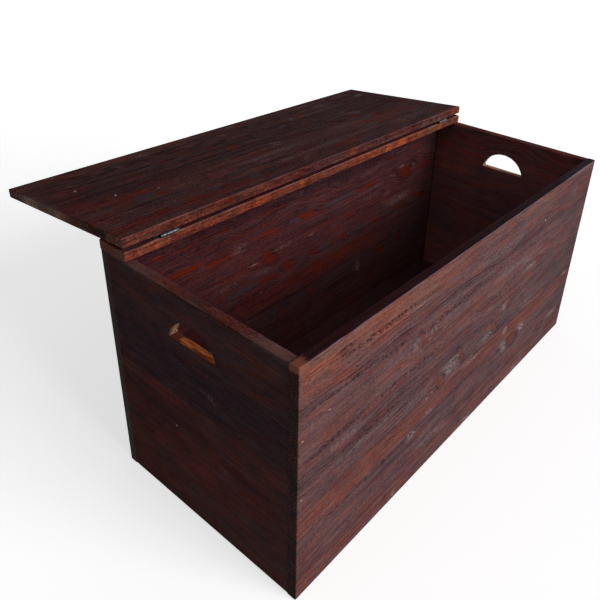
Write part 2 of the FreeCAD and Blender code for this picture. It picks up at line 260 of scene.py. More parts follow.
def mark_layers(tree, marks, point, torn, fringe, curls, strokes, specks, resin):
    """Layers of colour for the marks that one board alone has, each kind with its own outline and texture:
    those in the stain, and those on top of it."""
    new = functools.partial(add, tree)
    wide, narrow = (52.0, 6.0, 0.0), (13.0, 2.2, 0.0)       # how far fibres fray the outlines, in mm
    # the first five tint the stain, and shade and slate in places darken a board as painted shade where it
    # lies in shadow; putty is glue, and in broad faint patches a painted bluish sheen; resin brick red; chalk
    # and bloom crushed fibres, and in places a painted sheen; gap an open joint, and painted shade where
    # boards meet in a corner; pool gathered stain, and in places painted shade; bared wood with the stain
    # scraped off and lint dust
    # kind: (texture, softness, frayed by, colour, how it is laid on)
    kinds = {
        "amber": (None, 0.8, wide, AMBER, "MULTIPLY"),
        "golden": (None, 0.5, narrow, GOLDEN, "MULTIPLY"),
        "slate": (None, 0.8, wide, SLATE, "MULTIPLY"),
        "shade": (None, 0.9, wide, SHADE, "MULTIPLY"),
        "ruddy": (None, 0.9, wide, RUDDY, "MULTIPLY"),
        "putty": (None, 0.3, narrow, linear(PUTTY), "MIX"),
        "resin": (specks, 0.3, narrow, linear(resin), "MIX"),
        "chalk": (curls, 0.6, narrow, linear(CHALK), "MIX"),
        "bloom": (None, 0.8, narrow, linear(CHALK), "MIX"),
        "gap": (None, 0.4, None, linear(POOLED), "MIX"),
        "pool": (strokes, 0.6, narrow, linear(POOLED), "MIX"),
        "bared": (None, 0.4, narrow, linear(RUBBED), "MIX"),
        "lint": (None, 0.5, None, linear(LINT), "MIX"),
    }
    under, over = [], []
    for kind, (texture, softness, frayed_by, shade, blend) in kinds.items():
        own_marks = marks.get(kind, ())
        zone, place = None, point
        if own_marks and frayed_by:
            place = new("VectorMath", {0: frayed_by, "Scale": fringe}, operation="SCALE")
            place = new("VectorMath", {0: torn, 1: place}, operation="ADD")
        for along, across, half_length, half_width, amount, *tilt in own_marks:
            reach = oval_reach(tree, place, (along, across), (half_length, half_width), *tilt)
            mask = new("MapRange", {0: reach, 1: 1 + softness, 2: 1 - softness, 3: 0.0, 4: amount}, **SMOOTH)
            zone = new("Math", {0: zone, 1: mask}, operation="MAXIMUM") if zone else mask
        if zone and texture:
            zone = new("Math", {0: zone, 1: texture}, operation="MULTIPLY")
        if zone:
            (over if kind in ("bared", "lint") else under).append((zone, shade, blend))
    return under, over


def stained_pine(board, staves, knots, marks, low=(1, 1, 1), high=(1, 1, 1), edge=(1, 1, 1), end=(1, 1, 1),
                 contrast=1.0, clouds=1.0, rings=1.0, hues=4.4, joints=0.6, blocks=(0.8, 1.2), rubbing=0.5,
                 arris_wear_and_glint_colour=RUBBED, chatter=0.0, resin=RESIN, sheen=0.01, seed=0.0, bare=None):
    """Edge-glued pine, planed, sanded and wiped with a dark red-brown stain. To the eye: staves that differ
    in tone, fine torn pores, growth rings that part round brown knots with a grey bloom, partly a painted
    sheen, beside them, stain gathered in broken lines along the joints, brick red where resin kept it out,
    and arrises lighter from wear; on the front and the hinge strip their colour is a painted highlight.
    low, high, edge and end multiply the colour on the board's two faces, long edges and end grain, and
    blocks gives the range of tones among the staves' ends. contrast, clouds, rings, hues, joints, rubbing
    and chatter say how strongly fibres, blotches, growth rings, changes of hue, glue lines, the arrises' wear
    and painted highlight, and the planer's marks across the long edges show. bare colours sawn walls, where
    the board has some."""
    material, tree = new_material("stained_pine_" + board.name)
    new = functools.partial(add, tree)
    point = board.point(tree)
    across, through = new("SeparateXYZ", {0: point}).node.outputs[1:3]
    stave, glue_line = stave_values(tree, across, staves)
    tone, hue, number = new("SeparateColor", {0: stave}).node.outputs[:3]
    number = new("Math", {0: number, 1: 37.0, 2: seed}, operation="MULTIPLY_ADD")
    chance = new("TexWhiteNoise", {"W": number}, out=1, noise_dimensions="1D")
    ring_chance, pith_chance, block_chance = new("SeparateColor", {0: chance}).node.outputs[:3]
    chance = new("CombineXYZ", {0: ring_chance, 1: pith_chance, 2: block_chance})

    parted, torn, knot, rim = flow_round(tree, point, knots)
    own = new("VectorMath", {0: chance, 1: (4000.0, 300.0, 300.0), 2: parted}, operation="MULTIPLY_ADD")
    late_wood = growth_rings(tree, own, chance)
    ring_depth = new("MapRange", {0: ring_chance, 3: 0.25, 4: 1.4})
    late_wood = new("Math", {0: late_wood, 1: ring_depth}, operation="MULTIPLY")
    fibre = grain(tree, own, FIBRE, detail=4.0, rough=0.72, seed=seed + 1)
    pore = grain(tree, own, PORE, detail=2.0, rough=0.6, seed=seed + 2)
    streak = grain(tree, own, STREAK, detail=3.0, seed=seed + 3)
    cloud = grain(tree, own, CLOUD, detail=4.0, seed=seed + 4)
    blush = grain(tree, parted, BLUSH, detail=4.0, rough=0.6, seed=seed + 5)

    # how thin the stain lies: 0 is gathered, 1 is worn
    shares = [(fibre, 0.46 * contrast, 0.5), (pore, 0.54 * contrast, 0.5), (streak, 0.22 * contrast, 0.5),
              (cloud, 0.42 * clouds, 0.5), (late_wood, -0.26 * rings, 0.3)]
    middle = sum(share * usual for _, share, usual in shares)
    thin = new("Math", {0: tone, 1: 1.1, 2: -0.05 - middle}, operation="MULTIPLY_ADD")
    for signal, share, _ in shares:
        thin = new("Math", {0: signal, 1: share, 2: thin}, operation="MULTIPLY_ADD")
    colour = new("ValToRGB", {0: thin})
    ramp = colour.node.color_ramp
    ramp.elements[0].color = linear(POOLED)
    ramp.elements[1].color = linear(WORN)
    for stop, shade in ((0.25, DEEP), (0.5, BODY), (0.72, THIN)):
        ramp.elements.new(stop).color = linear(shade)

    # where the stain took redder or greyer, with patches of each, and small flecks of resin
    blush = new("Math", {0: blush, 1: 0.5}, operation="SUBTRACT")
    hue = new("Math", {0: blush, 1: hues, 2: hue}, operation="MULTIPLY_ADD")
    warm = new("MapRange", {0: hue, 1: 0.5, 2: 1.1})
    cool = new("MapRange", {0: hue, 1: 0.5, 2: -0.1})
    flecks = grain(tree, own, FLECK, rough=0.5, seed=seed + 6)
    flecks = new("Math", {0: warm, 1: 0.05, 2: flecks}, operation="MULTIPLY_ADD")
    flecks = new("MapRange", {0: flecks, 1: 0.70, 2: 0.75, 3: 0.0, 4: 0.5}, **SMOOTH)

    # short strokes that break up the dark lines, curls in the grey bloom, and the dashed glue lines
    strokes = new("MapRange", {0: pore, 1: 0.54, 2: 0.42, 3: 0.12, 4: 1.0}, **SMOOTH)
    curls = new("Math", {0: grain(tree, own, CURL, detail=1.0, rough=0.3, seed=seed + 12), 1: 13.0},
                operation="MULTIPLY")
    curls = new("Math", {0: curls, 1: 0.5}, operation="PINGPONG")
    curls = new("MapRange", {0: curls, 1: 0.12, 2: 0.42, 3: 0.08, 4: 1.0}, **SMOOTH)
    dashes = grain(tree, point, DASH, detail=2.0, seed=seed + 7)
    stretches = grain(tree, point, STRETCH, detail=1.0, seed=seed + 9)
    dashes = new("Math", {0: stretches, 1: 1.6, 2: dashes}, operation="MULTIPLY_ADD")
    dashes = new("MapRange", {0: dashes, 1: 1.20, 2: 1.50, 3: 0.12 * joints, 4: joints}, **SMOOTH)
    joint = new("MapRange", {0: glue_line, 1: 1.7, 2: 0.3}, **SMOOTH)
    joint = new("Math", {0: joint, 1: dashes}, operation="MULTIPLY")

    layers = [(warm, WARM, "MULTIPLY"), (cool, COOL, "MULTIPLY"), (flecks, linear(resin), "MIX")]
    fray = 2.4                            # how strongly fibres and pores fray a mark
    fringe = new("Math", {0: fibre, 1: fray, 2: -fray}, operation="MULTIPLY_ADD")
    fringe = new("Math", {0: pore, 1: fray, 2: fringe}, operation="MULTIPLY_ADD")
    specks = new("MapRange", {0: pore, 1: 0.36, 2: 0.52, 3: 0.35, 4: 1.0}, **SMOOTH)
    stains, scrapes = mark_layers(tree, marks, point, torn, fringe, curls, strokes, specks, resin)
    layers += stains
    if knot:
        rim = new("Math", {0: rim, 1: new("MapRange", {0: fibre, 1: 0.56, 2: 0.44, 3: 0.0, 4: 0.55})},
                  operation="MULTIPLY")
        layers.append((rim, linear(POOLED), "MIX"))
        cover = new("Math", {0: knot, 1: 0.75}, operation="MULTIPLY")
        layers.append((new("Math", {0: cover, 1: specks}, operation="MULTIPLY"), linear(resin), "MIX"))
    layers.append((joint, linear(POOLED), "MIX"))

    # the tone of each side of the board
    from_end, from_edge, from_face, from_arris = distance_inside(tree, point, board.size)
    on_high = new("Math", {0: through, 1: board.size[2] / 2}, operation="GREATER_THAN")
    on_edge = new("MapRange", {0: from_edge, 1: 1.0, 2: 0.3}, **SMOOTH)
    on_end = new("MapRange", {0: from_end, 1: 1.0, 2: 0.3}, **SMOOTH)
    side = new("Mix", {0: on_high, 6: (*low, 1), 7: (*high, 1)}, out=2, data_type="RGBA")
    side = new("Mix", {0: on_edge, 6: side, 7: (*edge, 1)}, out=2, data_type="RGBA")
    block = new("MapRange", {0: block_chance, 3: blocks[0], 4: blocks[1]})
    block = new("VectorMath", {0: end, "Scale": block}, operation="SCALE")
    side = new("Mix", {0: on_end, 6: side, 7: block}, out=2, data_type="RGBA")
    layers.append((1.0, side, "MULTIPLY"))
    missed = new("MapRange", {0: pore, 1: 0.60, 2: 0.66, 3: 0.0, 4: 0.5}, **SMOOTH)
    missed = new("Math", {0: missed, 1: on_end}, operation="MULTIPLY")
    layers.append((missed, linear(OCHRE), "MIX"))
    if chatter:
        hatch = grain(tree, point, KNIFE, detail=2.0, seed=seed + 10)
        patch = grain(tree, point, PATCH, seed=seed + 11)
        hatch = new("MapRange", {0: hatch, 1: 0.56, 2: 0.44, 3: 0.0, 4: 0.5 * chatter}, **SMOOTH)
        stained = new("MapRange", {0: patch, 1: 0.54, 2: 0.36, 3: 0.0, 4: chatter}, **SMOOTH)
        for amount, shade in ((hatch, (0.52, 0.46, 0.44, 1)), (stained, (0.45, 0.38, 0.42, 1))):
            layers.append((new("Math", {0: amount, 1: on_edge}, operation="MULTIPLY"), shade, "MULTIPLY"))
    # arrises lightened along their length; on the front and the hinge strip this colour is a painted
    # highlight
    frayed = new("Math", {0: fibre, 1: -3.2, 2: from_arris}, operation="MULTIPLY_ADD")
    frayed = new("MapRange", {0: frayed, 1: 0.4, 2: -1.2}, **SMOOTH)
    handled = grain(tree, point, HANDLED, detail=2.0, seed=seed + 8)
    handled = new("MapRange", {0: handled, 1: 0.40, 2: 0.60, 3: 0.4 * rubbing, 4: rubbing}, **SMOOTH)
    wear_and_glint = new("Math", {0: frayed, 1: handled}, operation="MULTIPLY")
    layers += [(wear_and_glint, linear(arris_wear_and_glint_colour), "MIX"), *scrapes]
    for amount, shade, blend in layers:
        colour = new("Mix", {0: amount, 6: colour, 7: shade}, out=2, data_type="RGBA", blend_type=blend)
    if bare:
        colour = bare(tree, colour, point, from_face, fibre)

    # relief in mm: late wood and fibres stand proud, pores and glue lines lie low
    height = 0.0
    for signal, rise in ((late_wood, 0.07), (fibre, 0.30), (pore, 0.16), (joint, -0.15)):
        height = new("Math", {0: signal, 1: rise, 2: height}, operation="MULTIPLY_ADD")
    normal = new("Bump", {"Strength": 1.0, "Distance": 1 / MM, "Height": height})
    rough = new("MapRange", {0: fibre, 1: 0.3, 2: 0.7, 3: 0.72, 4: 0.52})
    shader = new("BsdfPrincipled", {"Base Color": colour, "Roughness": rough, "Specular IOR Level": sheen,
                                    "Normal": normal})
    finish_surface(tree, shader)
    wear(material, board.name)


def hand_hole_walls(tree, colour, point, from_face, fibre, sill=("#66301c", "#ae6236"), wet_corner=True):
    """The sawn walls of a hand-hole: pale pine on the rear curve and orange-brown on the sill, where stain
    only ran. sill is its darker and its lighter colour."""
    new = functools.partial(add, tree)
    along, across, through = new("SeparateXYZ", {0: point}).node.outputs[:3]
    middle, half_width = 200.0, 57.0      # mm from the rear edge, with a little to spare round the hole
    crown, bottom = 44.0, 90.0            # mm below the top edge
    stain_run = middle - 24               # where stain that ran along the walls stopped
    aside = new("Math", {0: along, 1: middle}, operation="SUBTRACT")
    aside = new("Math", {0: aside}, operation="ABSOLUTE")
    walls = new("Math", {0: aside, 1: half_width}, operation="LESS_THAN")
    walls = new("Math", {0: walls, 1: new("Math", {0: across, 1: crown}, operation="GREATER_THAN")},
                operation="MULTIPLY")
    walls = new("Math", {0: walls, 1: new("Math", {0: across, 1: bottom + 1}, operation="LESS_THAN")},
                operation="MULTIPLY")
    depth = new("Math", {0: fibre, 1: -1.5, 2: from_face}, operation="MULTIPLY_ADD")
    depth = new("MapRange", {0: depth, 1: 0.2, 2: 0.9}, **SMOOTH)
    walls = new("Math", {0: walls, 1: depth}, operation="MULTIPLY")

    # streaks run along the sill; the sill is darker towards its outer edge, where stain was wiped over it
    streaks = grain(tree, point, (30.0, 4.0, 4.0), seed=4.0)
    wiped = new("MapRange", {0: through, 1: 1.0, 2: 8.0, 3: -0.16, 4: 0.06}, **SMOOTH)
    streaks = new("Math", {0: streaks, 1: wiped}, operation="ADD")
    streaks = new("MapRange", {0: streaks, 1: 0.36, 2: 0.62}, **SMOOTH)
    orange = new("Mix", {0: streaks, 6: linear(sill[0]), 7: linear(sill[1])}, out=2, data_type="RGBA")
    tan = new("Mix", {0: streaks, 6: linear("#6d4c38"), 7: linear("#b18e6e")}, out=2, data_type="RGBA")
    run = new("Math", {0: streaks, 1: 10.0, 2: along}, operation="MULTIPLY_ADD")
    if wet_corner:
        wet = new("MapRange", {0: run, 1: stain_run, 2: stain_run - 3}, **SMOOTH)
        orange = new("Mix", {0: wet, 6: orange, 7: linear("#5c2f2a")}, out=2, data_type="RGBA")
    dry_curve = new("MapRange", {0: run, 1: stain_run, 2: stain_run - 10}, **SMOOTH)
    curve = new("Mix", {0: dry_curve, 6: linear("#43201e"), 7: tan}, out=2, data_type="RGBA")
    on_sill = new("MapRange", {0: across, 1: bottom - 1.6, 2: bottom - 0.9}, **SMOOTH)
    bare = new("Mix", {0: on_sill, 6: curve, 7: orange}, out=2, data_type="RGBA")
    return new("Mix", {0: walls, 6: colour, 7: bare}, out=2, data_type="RGBA")


# Staves are (width in mm, tone, hue from grey -1 to red 1), from the edge where the measure across starts.
# Knots are (along, across, half length, half width, tilt), and marks of each kind are (along, across, half
# length, half width, amount, and a tilt where they have one), in mm and degrees.
FRONT_STAVES = [(50, 1.02, 0.2), (40, 0.91, 0.1), (51, 0.94, -0.2), (42, 0.92, 0.1), (45, 0.92, -0.2),
                (48, 0.98, -0.5), (50, 1.04, 0.8), (52, 0.91, -0.3), (37, 0.89, 0.0), (50, 0.90, 0.4)]
FRONT_KNOTS = [(301, 124, 20, 7, 62), (450, 241, 22, 7, 58), (383, 265, 21, 11, 52), (587, 253, 20, 7, 55),
               (644, 221, 11, 7, 60), (762, 168, 14, 8, 40), (666, 291, 10, 9, 0), (697, 338, 22, 17, 30),
               (858, 392, 14, 9, 50), (988, 395, 10, 8, 0), (90, 26, 8, 4, 20)]
FRONT_MARKS = {
    "amber": [
        (150, 18, 190, 26, 0.8), (120, 60, 150, 14, 0.3), (120, 150, 220, 12, 0.2), (180, 302, 200, 22, 0.3),
        (840, 312, 190, 14, 0.2), (545, 450, 40, 12, 0.3), (560, 12, 220, 6, 0.35),
        (905, 72, 60, 7, 0.5, -14), (730, 450, 60, 10, 0.3), (340, 145, 260, 12, 0.25)
    ],
    "slate": [
        (560, 80, 230, 26, 0.4), (260, 215, 230, 24, 0.4), (230, 262, 150, 16, 0.4),
        (430, 345, 190, 22, 0.45), (870, 225, 120, 26, 0.35), (500, 388, 240, 16, 0.3),
        (240, 350, 110, 12, 0.5), (640, 262, 70, 10, 0.5), (860, 100, 90, 14, 0.5), (450, 98, 60, 8, 0.4),
        (520, 268, 40, 6, 0.5), (330, 262, 30, 8, 0.4), (900, 346, 90, 10, 0.4), (720, 30, 130, 8, 0.4)
    ],
    "shade": [(1010, 230, 150, 300, 0.8), (960, 22, 150, 28, 0.7)],
    "ruddy": [(70, 250, 170, 170, 0.45), (130, 440, 190, 40, 0.5), (640, 300, 220, 18, 0.5)],
    "resin": [
        (230, 57, 44, 3.5, 0.6), (170, 58, 14, 5, 0.6), (100, 64, 30, 4, 0.4), (122, 315, 22, 8, 0.8),
        (240, 318, 60, 5, 0.5), (318, 312, 16, 8, 0.7), (680, 55, 14, 8, 0.6), (880, 78, 20, 6, 0.7, -14),
        (945, 58, 30, 6, 0.7, -14), (990, 45, 14, 7, 0.6), (390, 192, 20, 5, 0.7), (468, 193, 26, 4, 0.7),
        (370, 52, 12, 6, 0.5), (430, 141, 80, 2.2, 0.9), (560, 100, 8, 7, 0.6), (790, 140, 30, 4, 0.6),
        (200, 278, 120, 2.2, 0.6), (500, 318, 26, 6, 0.6), (85, 252, 8, 5, 0.7), (300, 165, 12, 5, 0.6),
        (330, 408, 16, 8, 0.4), (185, 405, 40, 8, 0.4), (610, 410, 22, 6, 0.4), (740, 200, 14, 8, 0.4),
        (60, 140, 60, 2.0, 0.5), (655, 195, 60, 3, 0.4), (480, 230, 20, 4, 0.4), (300, 0, 220, 5, 0.35),
        (85, 0, 30, 5, 0.6)
    ],
    "chalk": [
        (420, 258, 38, 15, 0.34, 20), (430, 238, 30, 5, 0.6), (500, 287, 36, 5, 0.5),
        (556, 262, 26, 10, 0.38), (628, 217, 18, 8, 0.6), (345, 276, 16, 4, 0.7),
        (655, 342, 20, 13, 0.66, 40), (738, 333, 12, 11, 0.75), (650, 295, 9, 8, 0.7), (300, 338, 12, 9, 0.7),
        (335, 122, 18, 6, 0.35), (282, 125, 8, 14, 0.25), (722, 165, 34, 6, 0.45), (700, 141, 40, 4, 0.3, 14),
        (560, 62, 120, 8, 0.25), (100, 196, 60, 8, 0.2), (380, 392, 50, 8, 0.3), (930, 392, 24, 7, 0.6),
        (960, 288, 12, 5, 0.7), (160, 236, 80, 6, 0.22), (905, 48, 14, 9, 0.25), (620, 128, 70, 6, 0.3),
        (260, 452, 14, 7, 0.5), (525, 456, 16, 6, 0.5), (745, 456, 10, 6, 0.6), (352, 320, 14, 5, 0.5)
    ],
    # the bloom along the top edge near the right end is a painted sheen
    "bloom": [(930, 0, 50, 4, 0.4), (860, 0, 22, 3, 0.25)],
    "pool": [
        (200, 36, 110, 5, 0.9), (130, 88, 100, 4, 0.7), (215, 96, 45, 4, 0.8), (470, 107, 150, 6, 0.8),
        (90, 174, 100, 5, 0.8), (290, 172, 110, 6, 0.9), (530, 171, 70, 5, 0.8), (640, 168, 60, 4, 0.6),
        (170, 219, 80, 5, 0.8), (210, 334, 140, 3, 0.9), (490, 327, 80, 5, 0.7), (620, 268, 80, 6, 0.5),
        (440, 268, 40, 4, 0.7), (270, 240, 60, 5, 0.5), (700, 108, 90, 4, 0.5), (330, 148, 24, 3, 0.7),
        (95, 20, 14, 5, 0.6), (780, 232, 60, 4, 0.5), (560, 385, 160, 4, 0.5), (640, 350, 20, 3, 0.8, 45),
        (560, 30, 120, 3, 0.5)
    ],
    "bared": [(0, 3, 18, 8, 0.75)],
    "lint": [
        (755, 67, 2.4, 1.6, 0.9), (9, 131, 2.2, 1.6, 0.45), (9, 246, 2.2, 1.6, 0.5), (64, 112, 2.0, 1.4, 0.5)
    ],
}
REAR_STAVES = [(52, 0.93, 0.1), (54, 0.90, 0.1), (52, 1.0, 0.2), (50, 1.02, 0.3), (26, 1.0, 0.0),
               (50, 1.0, 0.8), (50, 1.0, -0.6), (50, 1.0, -0.2), (51, 1.0, 0.1), (30, 1.0, 0.0)]
REAR_KNOTS = [(846, 109, 30, 17, 8), (358, 162, 22, 13, 45), (413, 205, 17, 11, 10), (758, 302, 17, 10, 60),
              (843, 299, 14, 8, 60), (925, 198, 16, 8, 20)]
# Along the rear's top, the shade band across 38 mm, the slate band across 50 mm and the pool band across 34
# mm, each 1080 mm long, are the painted shadow of the hinge strip that overhangs the inner face.
REAR_MARKS = {
    "amber": [(560, 250, 160, 14, 0.5), (150, 44, 60, 8, 0.4), (300, 132, 120, 8, 0.3)],
    "slate": [
        (500, 50, 540, 10, 0.6), (200, 150, 60, 12, 0.4), (820, 262, 70, 22, 0.7), (400, 300, 80, 16, 0.5),
        (790, 52, 50, 8, 0.7), (560, 44, 20, 6, 0.7), (440, 296, 80, 8, 0.7), (600, 325, 120, 14, 0.5),
        (900, 240, 60, 30, 0.5), (960, 140, 30, 60, 0.5)
    ],
    "shade": [
        (70, 50, 190, 60, 0.8), (90, 130, 160, 36, 0.35), (500, 38, 540, 13, 1.0), (40, 42, 110, 16, 1.0),
        (880, 112, 70, 8, 0.7), (500, 287, 400, 3, 0.9)
    ],
    "ruddy": [
        (420, 257, 230, 26, 1.0), (90, 80, 230, 120, 0.7), (560, 150, 260, 14, 0.5), (880, 115, 60, 12, 0.8)
    ],
    # The first six putty patches, broad and faint, are a painted bluish sheen; the small strong ones along
    # the joints are glue.
    "putty": [
        (930, 290, 130, 60, 0.3), (800, 255, 160, 14, 0.15), (560, 310, 330, 20, 0.12),
        (700, 60, 200, 12, 0.12), (940, 320, 110, 40, 0.12), (930, 130, 80, 16, 0.06), (181, 109, 8, 6, 0.9),
        (435, 104, 18, 7, 0.9), (576, 101, 58, 6, 1.0), (280, 208, 44, 6, 0.8), (533, 204, 21, 9, 0.9),
        (666, 205, 42, 6, 0.8), (776, 204, 28, 4, 0.8), (890, 205, 14, 4, 0.8), (368, 302, 15, 9, 0.5),
        (620, 290, 90, 5, 0.5), (455, 204, 12, 8, 0.5), (730, 108, 40, 3, 0.5, -10)
    ],
    "resin": [
        (144, 102, 42, 6.5, 1.0), (212, 113, 26, 4.5, 1.0), (250, 113, 16, 2, 0.8), (350, 101, 42, 5, 0.8),
        (472, 101, 20, 5, 1.0), (681, 100, 42, 4.5, 1.0), (420, 111, 100, 2, 0.7), (935, 115, 38, 4.5, 0.8),
        (90, 50, 13, 4, 0.8), (150, 55, 32, 2, 0.8), (236, 54, 18, 2.2, 0.8), (370, 54, 70, 1.8, 0.7),
        (880, 52, 26, 4, 0.8), (784, 56, 18, 4, 0.5), (356, 210, 28, 3.5, 1.0), (496, 203, 14, 3.5, 1.0),
        (600, 204, 18, 3, 1.0), (563, 207, 5, 5, 0.9), (725, 207, 18, 3.5, 0.9), (833, 207, 26, 3.5, 0.9),
        (225, 203, 6, 8, 0.8), (946, 209, 8, 5, 0.8), (300, 231, 6, 5, 0.8), (330, 231, 8, 5, 0.9),
        (424, 246, 6, 12, 0.6), (513, 256, 10, 19, 0.8), (640, 246, 80, 6, 0.5), (628, 156, 12, 10, 0.5),
        (580, 174, 24, 2.5, 0.7), (290, 164, 70, 2.2, 0.6), (498, 311, 12, 8, 0.6), (395, 316, 9, 14, 0.5),
        (958, 300, 6, 14, 0.5), (300, 80, 120, 2, 0.4), (560, 148, 60, 2, 0.4), (700, 262, 60, 3, 0.4)
    ],
    "chalk": [
        (275, 108, 18, 12, 0.45), (820, 178, 50, 11, 0.8), (770, 147, 14, 5, 0.6), (878, 106, 5, 12, 1.0),
        (838, 91, 22, 3.5, 0.9), (665, 318, 9, 16, 0.8, -20), (398, 150, 30, 5, 0.5),
        (790, 106, 18, 3, 0.8, 14), (342, 187, 26, 5, 0.5), (240, 182, 30, 6, 0.4),
        (680, 115, 80, 2, 0.5, -4), (700, 132, 30, 8, 0.3)
    ],
    "pool": [
        (500, 34, 540, 12, 0.4), (350, 286, 100, 3, 0.9), (808, 110, 3, 12, 0.9), (640, 212, 200, 2.5, 0.8),
        (300, 216, 90, 2.5, 0.6), (560, 328, 60, 5, 0.8), (600, 163, 160, 2.5, 0.5)
    ],
    "bared": [(313, 160, 15, 1.2, 0.9, 2), (490, 157, 8, 1.2, 0.7)],
    "lint": [(313, 160, 9, 0.8, 0.3, 2), (331, 236, 1.2, 2.5, 0.2)],
}
END_STAVES = [(51, 0.94, -0.2), (51, 0.94, -0.4), (51, 0.88, -0.6), (51, 0.92, -0.6), (51, 0.98, 0.4),
              (51, 0.94, 0.2), (51, 1.03, 0.5), (51, 1.03, 0.5), (57, 1.05, 0.5)]
END_MARKS = {
    "amber": [
        (110, 214, 140, 9, 0.5), (330, 215, 60, 22, 0.3), (230, 300, 170, 26, 0.3), (60, 262, 80, 16, 0.2),
        (60, 60, 60, 26, 0.2), (160, 345, 120, 30, 0.4), (320, 260, 70, 16, 0.3), (250, 40, 90, 14, 0.25)
    ],
    "slate": [
        (230, 140, 190, 34, 0.9), (70, 130, 120, 34, 0.6), (170, 192, 170, 10, 0.7), (200, 262, 40, 12, 0.5),
        (350, 320, 60, 16, 0.4), (30, 330, 40, 16, 0.5), (320, 52, 20, 6, 0.5), (60, 262, 60, 14, 0.5),
        (300, 285, 70, 8, 0.5), (160, 380, 60, 14, 0.4), (190, 400, 50, 8, 0.5)
    ],
    "shade": [(0, 190, 120, 320, 0.4), (215, 0, 34, 6, 0.7), (400, 0, 14, 6, 0.4)],
    "ruddy": [(100, 300, 240, 90, 0.9), (70, 400, 100, 60, 0.9)],
    "resin": [
        (233, 262, 7, 24, 0.7), (243, 302, 12, 8, 0.7), (262, 240, 14, 6, 0.5), (84, 237, 9, 4, 0.7),
        (320, 240, 60, 4, 0.4), (125, 50, 44, 3, 0.6), (330, 60, 20, 6, 0.5), (372, 68, 14, 5, 0.5),
        (190, 118, 8, 10, 0.35), (175, 192, 14, 5, 0.5), (100, 312, 30, 8, 0.35), (330, 300, 40, 8, 0.35),
        (60, 350, 24, 6, 0.35), (260, 370, 30, 8, 0.3), (300, 0, 30, 6, 0.4), (165, 0, 30, 6, 0.5)
    ],
    "chalk": [(234, 158, 12, 7, 0.45), (266, 298, 14, 6, 0.35), (320, 192, 20, 4, 0.3)],
    # the bloom along the top edge near the front, at 362 mm, is a painted sheen
    "bloom": [(88, 0, 50, 7, 0.2), (362, 0, 34, 7, 0.28)],
    "gap": [(400, 230, 1.3, 600, 0.7), (0, 230, 1.3, 600, 0.7)],
    "pool": [(130, 0, 50, 5, 0.5), (285, 0, 70, 5, 0.5)],
    "lint": [(144, 275, 1.4, 3.0, 0.4, 30)],
}
# On the right end's inner face the broad shade and slate marks and the pool are painted shade of the box's
# inside, darkening its lower and front parts; the gap along its rear edge is an open joint widened into
# painted shade in the corner where it meets the rear panel.
RIGHT_END_MARKS = {
    "amber": [
        (70, 120, 70, 14, 0.4), (30, 60, 30, 30, 0.5), (260, 60, 100, 12, 0.2), (230, 140, 120, 14, 0.3),
        (120, 250, 90, 10, 0.4)
    ],
    "golden": [(70, 120, 60, 8, 0.3)],
    "slate": [
        (200, 150, 160, 10, 0.4), (120, 205, 140, 10, 0.4), (60, 270, 90, 70, 0.9), (210, 230, 80, 130, 0.8)
    ],
    "shade": [(330, 300, 190, 190, 0.95), (200, 350, 300, 150, 0.9)],
    "resin": [(110, 66, 30, 5, 0.4), (60, 190, 24, 6, 0.3)],
    "gap": [(0, 230, 2.6, 600, 0.95)],
    "pool": [(215, 220, 90, 110, 0.35)],
}
LID_STAVES = [(45, 0.95, 0.3), (60, 0.86, 0.0), (55, 0.79, -0.1), (48, 0.85, 0.2), (66, 1.04, -0.1),
              (42, 1.08, -0.2), (48, 0.96, 0.2)]
LID_KNOTS = [(416, 148, 17, 14, 0), (684, 92, 14, 12, 60), (771, 195, 14, 10, 50), (816, 230, 14, 10, 60),
             (780, 282, 12, 10, 0), (695, 200, 12, 8, 0)]
